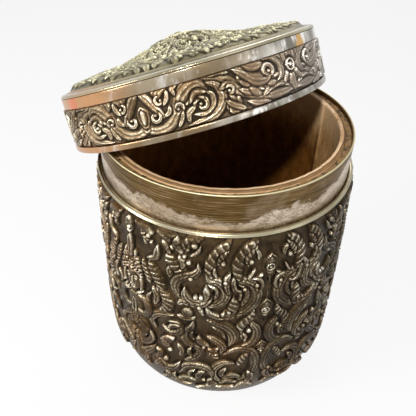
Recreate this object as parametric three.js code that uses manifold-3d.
// Round lidded silver box, with a repousse wall over a bent-wood core.
// The lid is off and leans on the open rim, raised at the front right.
// Millimetres, +Z up, origin at the centre of the flat base.
import * as THREE from 'three';
import { mergeVertices } from 'three/addons/utils/BufferGeometryUtils.js';
import Module from 'manifold-3d';

const wasm = await Module();
wasm.setup();

// Driving dimensions of the box.
const rimHeight = 109;
const neckRadius = 45;
const neckHeight = 14;
const collarSheet = 0.8;
const collarOverlap = 2.8;
const bellySwell = 2.8;
const shoulderSwell = 1.1;
const cornerReach = 9.3;
const cornerHeight = 22;
const shellSheet = 0.8;
const baseSheet = 0.9;
const baseSeam = 1.6;
const beadHeight = 1.6;
const beadReach = 2;
const beadSeat = 0.4;
const bellyPower = 2.2;
const collarRound = 0.3;
const beadArc = 0.9;
const beadFlank = 0.4;

// Driving dimensions of the wooden core and the lac that beds the silver on it.
const lacMouth = 1.6;
const coreWall = 2;
const coreDrop = 0.5;
const lapStep = 0.6;
const lapAngle = 20.5;
const lapSpread = 40;
const floorThickness = 3;
const floorHeight = 7;
const lacDrop = 1.3;

// Driving dimensions of the lid.
const lidHeight = 19;
const lidClearance = 0.4;
const lidTilt = 26.2;
const lidRaisedAngle = -50;
const sleeveWall = 0.4;
const lowerBandHeight = 2.1;
const lowerBandReach = 0.7;
const lowerBandRound = 0.5;
const upperBandHeight = 4;
const skirtSheet = 0.7;
const skirtTaper = 0.2;
const topSheet = 0.6;
const backingThickness = 1.3;
const borderWidth = 5.4;
const borderRise = 2.6;
const crownStep = 0.4;
const fringeRise = 1.9;
const centreRise = 4.2;
const centreReach = 27;
const sheetLand = 0.6;

// Driving dimensions of the relief, hammered out from behind.
const wallReliefHeight = 2;
const skirtReliefHeight = 0.9;
const crownReliefHeight = 1.3;
const wallRepeats = 3;
const skirtRepeats = 3;
const budAxisAngle = -72;
const skirtBudAngle = -54;
const reliefFoot = 7;
const reliefTopMargin = 0.5;
const crestLean = 0.15;
const tipShare = 0.85;
const swellPower = 0.6;
const bossTop = 0.55;
const reliefTolerance = 0.18;

// Clearance between pieces that are seated on each other.
const fit = 0.3;

// How far a hollow is cut past an open face.
const cutPast = 1;

// Facets around every turned piece, and the rows of the wall's outlines: [round bottom, belly].
const facets = 36;
const groundRows = [4, 3];
const hollowRows = [4, 2];
const lacRows = [2, 2];
const beadSteps = 3;

const silver = new THREE.MeshStandardMaterial({ color: 0xa39b8b, roughness: 0.38, metalness: 1 });
const polished = new THREE.MeshStandardMaterial({ color: 0xc9c1b4, roughness: 0.16, metalness: 1 });
const wood = new THREE.MeshStandardMaterial({ color: 0x8a6a45, roughness: 0.7, metalness: 0 });
const lac = new THREE.MeshStandardMaterial({ color: 0x3a2818, roughness: 0.8, metalness: 0 });

// Places worked out from the driving dimensions.
const bellyRadius = neckRadius + bellySwell;
const shoulderRadius = neckRadius + shoulderSwell;
const baseRadius = bellyRadius - cornerReach;
const shoulderHeight = rimHeight - neckHeight - fit - beadHeight / 2 - beadSeat;
const collarInner = neckRadius - collarSheet;
const coreRadius = collarInner - fit - lacMouth - fit;
const lidInner = neckRadius + lidClearance;
const skirtInner = lidInner + sleeveWall + fit;
const skirtRadius = skirtInner + skirtSheet;
const skirtFoot = lowerBandHeight + fit;
const skirtTop = lidHeight - upperBandHeight - fit;
const borderUnder = lidHeight - topSheet;
const ceilingHeight = borderUnder - fit - backingThickness;
const topRadius = skirtRadius;
const crownRadius = topRadius - borderWidth;
const reliefRoot = -Math.min(shellSheet, topSheet) / 2;

// Outer radius of the wall's plain ground at height z: a rounded bottom, then a belly drawn in
// towards the shoulder.
function wallRadiusAt(z) {
  if (z < cornerHeight) {
    const rise = 1 - z / cornerHeight;
    return baseRadius + (bellyRadius - baseRadius) * Math.sqrt(Math.max(0, 1 - rise * rise));
  }
  const share = (z - cornerHeight) / (shoulderHeight - cornerHeight);
  return bellyRadius - (bellyRadius - shoulderRadius) * share ** bellyPower;
}

// Outline points of the wall's ground, moved in by an offset, from foot to top.
function wallOutline(offset, foot, top, [cornerRows, bellyRows]) {
  const points = [];
  for (let row = 0; row < cornerRows; row += 1) {
    const turn = (row / cornerRows) * Math.PI / 2;
    const z = foot + (cornerHeight - foot) * (1 - Math.cos(turn));
    const reach = Math.sin(turn);
    points.push([baseRadius - offset + (bellyRadius - baseRadius) * reach, z]);
  }
  for (let row = 0; row <= bellyRows; row += 1) {
    const z = cornerHeight + (top - cornerHeight) * (row / bellyRows);
    points.push([wallRadiusAt(z) - offset, z]);
  }
  return points;
}

// A closed outline of [radius, height] points, turned about the Z axis with its faces out.
function turned(outline) {
  let area = 0;
  outline.forEach(([r, z], i) => {
    const [nextR, nextZ] = outline[(i + 1) % outline.length];
    area += r * nextZ - nextR * z;
  });
  const ordered = area > 0 ? outline : [...outline].reverse();
  const onAxis = ordered.findIndex(([r], i) => r === 0 && ordered[(i + 1) % ordered.length][0] !== 0);
  const start = Math.max(0, onAxis);
  const rolled = [...ordered.slice(start), ...ordered.slice(0, start)];
  if (onAxis < 0) rolled.push(rolled[0]);
  const profile = rolled.map(([r, z]) => new THREE.Vector2(r, z));
  const geometry = new THREE.LatheGeometry(profile, facets);
  geometry.rotateX(Math.PI / 2);
  return geometry;
}

function bare(geometry) {
  const plain = geometry.clone();
  plain.deleteAttribute('normal');
  plain.deleteAttribute('uv');
  return mergeVertices(plain, 1e-4);
}

// Manifold solid of a closed geometry, turned right side out if a mirrored form left it inside out.
function solid(geometry) {
  const merged = bare(geometry);
  const position = merged.getAttribute('position');
  const index = [...merged.getIndex().array];
  const corners = [0, 1, 2].map(() => new THREE.Vector3());
  const triangles = [];
  let volume = 0;
  for (let i = 0; i < index.length; i += 3) {
    const [a, b, c] = [index[i], index[i + 1], index[i + 2]];
    if (a === b || b === c || c === a) continue;
    triangles.push([a, b, c]);
    corners.forEach((corner, k) => corner.fromBufferAttribute(position, [a, b, c][k]));
    volume += corners[0].dot(corners[1].clone().cross(corners[2]));
  }
  const ordered = triangles.map((t) => (volume > 0 ? t : [t[0], t[2], t[1]]));
  return new wasm.Manifold(new wasm.Mesh({
    numProp: 3,
    vertProperties: new Float32Array(position.array),
    triVerts: new Uint32Array(ordered.flat()),
  }));
}

function geometryOf(manifold) {
  const mesh = manifold.getMesh();
  const geometry = new THREE.BufferGeometry();
  geometry.setAttribute('position', new THREE.BufferAttribute(new Float32Array(mesh.vertProperties), 3));
  geometry.setIndex([...mesh.triVerts]);
  geometry.computeVertexNormals();
  return geometry;
}

// A flame, leaf or stem: a ridge with a crest that swells and tapers along a curve.
// place(x, y, lift) puts a point of the drawing on the sheet, lift millimetres above its ground.
function ridge(place, points, width, height, steps) {
  const curve = new THREE.CatmullRomCurve3(points.map(([x, y]) => new THREE.Vector3(x, y, 0)));
  const section = [[1, reliefRoot], [crestLean, height], [-1, reliefRoot]];
  const sides = section.length;
  const vertices = [];
  const index = [];
  const tip = (t) => {
    const p = curve.getPoint(t);
    vertices.push(...place(p.x, p.y, reliefRoot / 2).toArray());
  };
  tip(0);
  for (let step = 1; step < steps; step += 1) {
    const t = step / steps;
    const p = curve.getPoint(t);
    const along = curve.getTangent(t);
    const swell = Math.sin(Math.PI * t ** tipShare) ** swellPower;
    const half = (width / 2) * swell;
    section.forEach(([across, lift]) => {
      const rise = lift > 0 ? lift * swell : lift;
      const side = across * half;
      vertices.push(...place(p.x - along.y * side, p.y + along.x * side, rise).toArray());
    });
  }
  tip(1);
  const last = 1 + (steps - 1) * sides;
  for (let side = 0; side < sides; side += 1) {
    const next = (side + 1) % sides;
    index.push(0, 1 + side, 1 + next);
    for (let step = 0; step < steps - 2; step += 1) {
      const low = 1 + step * sides;
      const high = low + sides;
      index.push(low + side, high + side, high + next, low + side, high + next, low + next);
    }
    index.push(last, last - sides + next, last - sides + side);
  }
  return formSolid(vertices, index);
}

// A bud, face or boss: a low cone cut off at the top, with a rounded or pointed plan.
function boss(place, [x, y, width, length], height, sides = 6, point = 0) {
  const vertices = [];
  const index = [];
  for (let ring = 0; ring < 2; ring += 1) {
    const grow = ring === 0 ? 1 : bossTop;
    for (let side = 0; side < sides; side += 1) {
      const turn = Math.PI / 2 + (side / sides) * Math.PI * 2;
      const reach = side === 0 ? 1 + point : 1;
      const px = x + (width / 2) * grow * Math.cos(turn);
      const py = y + (length / 2) * grow * reach * Math.sin(turn);
      vertices.push(...place(px, py, ring === 0 ? reliefRoot : height).toArray());
    }
  }
  for (let side = 0; side < sides; side += 1) {
    const next = (side + 1) % sides;
    index.push(side, next, sides + next, side, sides + next, sides + side);
  }
  for (let side = 1; side < sides - 1; side += 1) {
    index.push(0, side + 1, side);
    index.push(sides, sides + side, sides + side + 1);
  }
  return formSolid(vertices, index);
}

function formSolid(vertices, index) {
  const geometry = new THREE.BufferGeometry();
  geometry.setAttribute('position', new THREE.BufferAttribute(new Float32Array(vertices), 3));
  geometry.setIndex(index);
  return solid(geometry);
}

// A sheet with raised forms: a filled blank and its forms, with the sheet's inside taken out.
function raised(filled, hollow, motifs) {
  const sheet = motifs.reduce((joined, motif) => joined.add(motif), solid(filled));
  return geometryOf(sheet.subtract(solid(hollow)).simplify(reliefTolerance));
}

// The silver wall: a raised cup whose ornament is hammered out, drawn on a panel that repeats
// round the wall and is mirrored about its column of buds.
const panelWidth = 100;
const panelHeight = 87;
const slopeStep = 0.5;

function wallPlace(repeat, mirror) {
  const perUnit = (Math.PI * 2) / wallRepeats / panelWidth;
  const middle = THREE.MathUtils.degToRad(budAxisAngle) + (repeat * Math.PI * 2) / wallRepeats;
  const reliefTop = shoulderHeight - reliefTopMargin;
  return (x, y, lift) => {
    const z = reliefFoot + ((reliefTop - reliefFoot) * y) / panelHeight;
    const slope = (wallRadiusAt(z + slopeStep) - wallRadiusAt(z - slopeStep)) / (2 * slopeStep);
    const length = Math.hypot(1, slope);
    const r = wallRadiusAt(z) + lift / length;
    const angle = middle + mirror * x * perUnit;
    return new THREE.Vector3(r * Math.cos(angle), r * Math.sin(angle), z - (lift * slope) / length);
  };
}

// Half a panel: [points, width, steps], from the column of buds out to the guardian figure.
const wallFlames = [
  [[[4.6, 86.4], [9.4, 80.4], [10.6, 73.4], [5.6, 66.6], [4.4, 61], [8.4, 55], [14, 52.6]], 5, 6],
  [[[13.4, 86.4], [18.4, 80], [19.2, 73], [15.2, 66], [16.2, 60], [21.4, 57.6]], 4.8, 6],
  [[[21, 56.4], [16, 51.4], [11.8, 54], [11.2, 61.6]], 3.8, 4],
  [[[38.2, 86], [32.6, 84.6], [27.6, 81.6], [23.4, 75.6]], 4.4, 4],
  [[[35.4, 79], [31, 73], [25.6, 71], [30.8, 66], [29, 58.6]], 4, 6],
  [[[28.6, 65], [26, 58], [21.4, 59.6], [21.2, 67]], 4, 4],
  [[[4.2, 53.8], [8.2, 46.6], [3, 42.4], [3.6, 36], [13, 32.4]], 4.2, 6],
  [[[13.6, 30.4], [5, 31], [2, 22], [7, 13], [14.6, 12.8], [17.4, 18.6], [11.4, 24.6]], 4, 7],
  [[[25, 48], [28, 40.4], [22.6, 32.6], [28, 25], [28.6, 17.4], [19, 19], [17.6, 13]], 4, 7],
  [[[41.8, 72], [37, 63], [35, 54.4], [38.2, 48.6], [32.8, 45]], 5, 6],
  [[[40.8, 27], [45.6, 18.4], [41, 10.4], [33.4, 13.4], [31.6, 20.4], [37.4, 22.6]], 4.2, 7],
];

// The column of buds: [x, y, width, length].
const wallBuds = [[0, 75.6, 4.6, 7.4], [0, 54.6, 4.6, 7.4]];
const budRise = 0.8;
const budPoint = 0.5;

// A guardian's face, crown and body, drawn from its own middle: [plan, rise, sides, point].
const guardianBosses = [
  [[0, 57.4, 7.4, 8.6], 1, 8, 0],
  [[0, 68, 9, 13], 0.9, 6, 0.6],
  [[0, 44, 6.6, 11], 0.8, 6, 0],
];

// Half a guardian's arms and boat-shaped seat.
const limbRise = 0.9;
const guardianLimbs = [
  [[[2.4, 51], [7.4, 47], [5.6, 42], [1, 43.6]], 3.6, 4],
  [[[0.6, 23.6], [6, 26], [8, 34]], 3.6, 3],
];

function wallRelief() {
  const motifs = [];
  for (let repeat = 0; repeat < wallRepeats; repeat += 1) {
    const middle = wallPlace(repeat, 1);
    wallBuds.forEach((plan) => {
      motifs.push(boss(middle, plan, wallReliefHeight * budRise, 6, budPoint));
    });
    const figure = (x, y, lift) => middle(x + panelWidth / 2, y, lift);
    guardianBosses.forEach(([plan, rise, sides, point]) => {
      motifs.push(boss(figure, plan, wallReliefHeight * rise, sides, point));
    });
    for (const mirror of [-1, 1]) {
      const place = wallPlace(repeat, mirror);
      wallFlames.forEach(([points, width, steps]) => {
        motifs.push(ridge(place, points, width, wallReliefHeight, steps));
      });
      const limb = (x, y, lift) => figure(mirror * x, y, lift);
      guardianLimbs.forEach(([points, width, steps]) => {
        motifs.push(ridge(limb, points, width, wallReliefHeight * limbRise, steps));
      });
    }
  }
  return motifs;
}

function bodyShell() {
  const outer = wallOutline(0, 0, shoulderHeight, groundRows);
  const inner = wallOutline(shellSheet, shellSheet, shoulderHeight, hollowRows);
  const seamRadius = baseRadius - baseSeam;
  const mouth = inner[inner.length - 1][0];
  const hollow = [
    [0, -cutPast],
    [seamRadius, -cutPast],
    [seamRadius, shellSheet],
    ...inner,
    [mouth, shoulderHeight + cutPast],
    [0, shoulderHeight + cutPast],
  ];
  return raised(turned([[0, 0], ...outer, [0, shoulderHeight]]), turned(hollow), wallRelief());
}

function baseDisc() {
  const radius = baseRadius - baseSeam - fit;
  return turned([[0, 0], [radius, 0], [radius, baseSheet], [0, baseSheet]]);
}

// The plain neck band, tucked inside the top of the wall, with its upper edge rounded.
function neckCollar() {
  const foot = shoulderHeight - collarOverlap;
  return turned([
    [collarInner, foot],
    [neckRadius, foot],
    [neckRadius, rimHeight - collarRound],
    [neckRadius - collarRound, rimHeight],
    [collarInner, rimHeight],
  ]);
}

// The half-round wire soldered over the seam of neck and wall.
function shoulderBead() {
  const inner = neckRadius + fit;
  const foot = shoulderHeight + fit;
  const reach = beadReach - fit;
  const outline = [[inner, foot + beadHeight], [inner, foot]];
  for (let step = 0; step <= beadSteps; step += 1) {
    const turn = (step / beadSteps - 0.5) * Math.PI * beadArc;
    const r = inner + reach * (beadFlank + (1 - beadFlank) * Math.cos(turn));
    outline.push([r, foot + (beadHeight / 2) * (1 + Math.sin(turn))]);
  }
  return turned(outline);
}

// Lac poured between the silver and the wooden core, showing only as a ring at the mouth.
function lacBed() {
  const skin = shellSheet + fit;
  const foot = baseSheet + fit;
  const collarFoot = shoulderHeight - collarOverlap - fit;
  const outer = wallOutline(skin, foot, collarFoot, lacRows);
  const inner = coreRadius + fit;
  const mouth = collarInner - fit;
  return turned([
    [0, foot],
    ...outer,
    [mouth, collarFoot],
    [mouth, rimHeight - lacDrop],
    [inner, rimHeight - lacDrop],
    [inner, floorHeight - fit],
    [0, floorHeight - fit],
  ]);
}

// The core's wall: one bent strip whose end laps inside itself, leaving a step up the bore.
function coreWallStrip() {
  const bore = coreRadius - coreWall;
  const ring = (radiusAt) => {
    const points = [];
    for (let step = 0; step < facets; step += 1) {
      const turn = (step / facets) * Math.PI * 2;
      points.push(new THREE.Vector2(radiusAt(turn) * Math.cos(turn), radiusAt(turn) * Math.sin(turn)));
    }
    return points;
  };
  const spread = THREE.MathUtils.degToRad(lapSpread);
  const shape = new THREE.Shape(ring(() => coreRadius));
  shape.holes.push(new THREE.Path(ring((turn) => bore - lapStep * Math.max(0, 1 - turn / spread))));
  const depth = rimHeight - coreDrop - floorHeight;
  const geometry = new THREE.ExtrudeGeometry(shape, { depth, bevelEnabled: false });
  geometry.translate(0, 0, floorHeight);
  geometry.rotateZ(THREE.MathUtils.degToRad(lapAngle));
  return geometry;
}

function coreFloor() {
  const radius = coreRadius - coreWall - lapStep - fit;
  const top = floorHeight + floorThickness;
  return turned([[0, floorHeight], [radius, floorHeight], [radius, top], [0, top]]);
}

// Lid pieces, drawn about the lid's own axis, up from its open edge.
function lidLowerBand() {
  const outer = skirtRadius + lowerBandReach;
  return turned([
    [lidInner, 0],
    [outer, 0],
    [outer, lowerBandHeight - lowerBandRound],
    [outer - lowerBandRound, lowerBandHeight],
    [lidInner, lowerBandHeight],
  ]);
}

function lidSleeve() {
  const outer = lidInner + sleeveWall;
  const top = ceilingHeight - fit;
  return turned([[lidInner, skirtFoot], [outer, skirtFoot], [outer, top], [lidInner, top]]);
}

// The skirt's running scroll, drawn from a pointed bud to a flower, on a strip that is turned
// over at both and repeats round the lid.
const stripWidth = 48.9;
const stripHeight = 12;

// The skirt's bud and flower: [plan, sides, point].
const skirtBud = [[0, 5.6, 3.4, 5.4], 6, 0.5];
const skirtFlower = [[stripWidth, 6.6, 4.4, 8], 4, 0];
const skirtBossRise = 0.9;

function skirtPlace(repeat, mirror) {
  const perUnit = Math.PI / skirtRepeats / stripWidth;
  const middle = THREE.MathUtils.degToRad(skirtBudAngle) + (repeat * Math.PI * 2) / skirtRepeats;
  return (x, y, lift) => {
    const share = y / stripHeight;
    const r = skirtRadius - skirtTaper * share + lift;
    const angle = middle + mirror * x * perUnit;
    const z = skirtFoot + (skirtTop - skirtFoot) * share;
    return new THREE.Vector3(r * Math.cos(angle), r * Math.sin(angle), z);
  };
}

const skirtScrolls = [
  [[[0.5, 2.4], [7.2, 1.8], [11.2, 7.6], [17.8, 10], [27.2, 8], [36, 3.2], [47.6, 2.4]], 2.8, 9],
  [[[22.4, 9.8], [25, 5], [17.6, 1.7], [12.4, 3.4]], 2.6, 6],
  [[[29.6, 9.6], [34.5, 8.6], [39.4, 6.4], [43.6, 8.8]], 2.8, 5],
];

function lidSkirt() {
  const filled = turned([
    [0, skirtFoot],
    [skirtRadius, skirtFoot],
    [skirtRadius - skirtTaper, skirtTop],
    [0, skirtTop],
  ]);
  const hollow = turned([
    [0, skirtFoot - cutPast],
    [skirtInner, skirtFoot - cutPast],
    [skirtInner, skirtTop + cutPast],
    [0, skirtTop + cutPast],
  ]);
  const motifs = [];
  for (let repeat = 0; repeat < skirtRepeats; repeat += 1) {
    const middle = skirtPlace(repeat, 1);
    [skirtBud, skirtFlower].forEach(([plan, sides, point]) => {
      motifs.push(boss(middle, plan, skirtReliefHeight * skirtBossRise, sides, point));
    });
    for (const mirror of [-1, 1]) {
      const place = skirtPlace(repeat, mirror);
      skirtScrolls.forEach(([points, width, steps]) => {
        motifs.push(ridge(place, points, width, skirtReliefHeight, steps));
      });
    }
  }
  return raised(filled, hollow, motifs);
}

function lidUpperBand() {
  const outer = topRadius;
  const foot = skirtTop + fit;
  const top = borderUnder - fit;
  return turned([[skirtInner, foot], [outer, foot], [outer, top], [skirtInner, top]]);
}

function crownHeightAt(r) {
  const share = Math.min(1, r / crownRadius);
  const centre = Math.cos(Math.min(1, r / centreReach) * Math.PI / 2) ** 2;
  return lidHeight + borderRise + crownStep + fringeRise * (1 - share * share) + centreRise * centre;
}

// Rings of petals, scrolls and leaves on the crown: [copies, turn, curve, width, steps]. A curve's
// points are a share of the crown's radius and a share of one copy's turn.
const crownRings = [
  [6, 0, [[0.12, 0], [0.24, 0.1], [0.38, 0]], 6, 4],
  [8, 0, [[0.4, 0.4], [0.5, -0.15], [0.66, 0.1], [0.62, 0.45]], 4.4, 6],
  [12, 0.5, [[0.96, -0.2], [0.86, 0.25], [0.72, 0.1]], 5, 4],
];

// The crown's middle boss, and the rings at which the sheet's two faces are cut, as shares of the
// crown's radius.
const crownBoss = [0, 0, 6, 6];
const crownBossRise = 1.3;
const crownBossSides = 8;
const domeShares = [0, 0.15, 0.3, 0.45, 0.62, 0.85];
const underShares = [0, 0.2, 0.4, 0.62];

// The top sheet: a border that slopes up to a low fringe of leaves, and a domed centre.
function lidTop() {
  const dome = domeShares.map((share) => [crownRadius * share, crownHeightAt(crownRadius * share)]);
  const under = underShares.map((share) => {
    const r = crownRadius * share;
    return [r, crownHeightAt(r) - topSheet];
  });
  const landRadius = lidInner - fit - sheetLand;
  const filled = turned([
    ...dome,
    [crownRadius, lidHeight + borderRise + crownStep],
    [crownRadius, lidHeight + borderRise],
    [topRadius, lidHeight],
    [topRadius, borderUnder],
    [0, borderUnder],
  ]);
  const hollow = turned([
    [0, borderUnder - cutPast],
    [landRadius, borderUnder - cutPast],
    [landRadius, borderUnder],
    [crownRadius - topSheet, lidHeight + borderRise - topSheet],
    ...under.reverse(),
  ]);
  const place = (x, y, lift) => {
    const r = Math.hypot(x, y);
    return new THREE.Vector3(x, y, crownHeightAt(r) + lift);
  };
  const motifs = [boss(place, crownBoss, crownReliefHeight * crownBossRise, crownBossSides)];
  crownRings.forEach(([count, turned, curl, width, steps]) => {
    for (let leaf = 0; leaf < count; leaf += 1) {
      const middle = ((leaf + turned) / count) * Math.PI * 2;
      const points = curl.map(([share, lean]) => {
        const r = crownRadius * share;
        const turn = middle + (lean * Math.PI * 2) / count;
        return [r * Math.cos(turn), r * Math.sin(turn)];
      });
      motifs.push(ridge(place, points, width, crownReliefHeight, steps));
    }
  });
  return raised(filled, hollow, motifs);
}

function lidBacking() {
  const radius = lidInner - fit;
  const top = borderUnder - fit;
  return turned([[0, ceilingHeight], [radius, ceilingHeight], [radius, top], [0, top]]);
}

// Where the leaning lid comes to rest: its ceiling on the rim at the back, and its open edge
// across the rim's outer edge at both sides.
function lidRest() {
  const tilt = THREE.MathUtils.degToRad(lidTilt);
  const raisedTurn = THREE.MathUtils.degToRad(lidRaisedAngle);
  const hang = ceilingHeight / Math.sin(tilt) - neckRadius;
  const reach = Math.sqrt(hang * hang + lidInner * lidInner - neckRadius * neckRadius);
  const out = hang - reach * Math.cos(tilt);
  const height = rimHeight - reach * Math.sin(tilt) + fit;
  return { tilt, raisedTurn, position: [out * Math.cos(raisedTurn), out * Math.sin(raisedTurn), height] };
}

function piece(name, geometry, material) {
  const mesh = new THREE.Mesh(geometry, material);
  mesh.name = name;
  return mesh;
}

const box = new THREE.Group();
box.add(piece('body_shell', bodyShell(), silver));
box.add(piece('base_disc', baseDisc(), silver));
box.add(piece('neck_collar', neckCollar(), silver));
box.add(piece('shoulder_bead', shoulderBead(), polished));
box.add(piece('lac_bed', lacBed(), lac));
box.add(piece('core_wall', coreWallStrip(), wood));
box.add(piece('core_floor', coreFloor(), wood));

const rest = lidRest();
const lid = new THREE.Group();
lid.add(piece('lid_lower_band', lidLowerBand(), polished));
lid.add(piece('lid_sleeve', lidSleeve(), silver));
lid.add(piece('lid_skirt', lidSkirt(), silver));
lid.add(piece('lid_upper_band', lidUpperBand(), polished));
lid.add(piece('lid_top', lidTop(), silver));
lid.add(piece('lid_backing', lidBacking(), wood));
lid.rotation.set(0, -rest.tilt, rest.raisedTurn, 'ZYX');
lid.position.set(...rest.position);

const silverBox = new THREE.Group();
silverBox.add(box, lid);
export default silverBox;
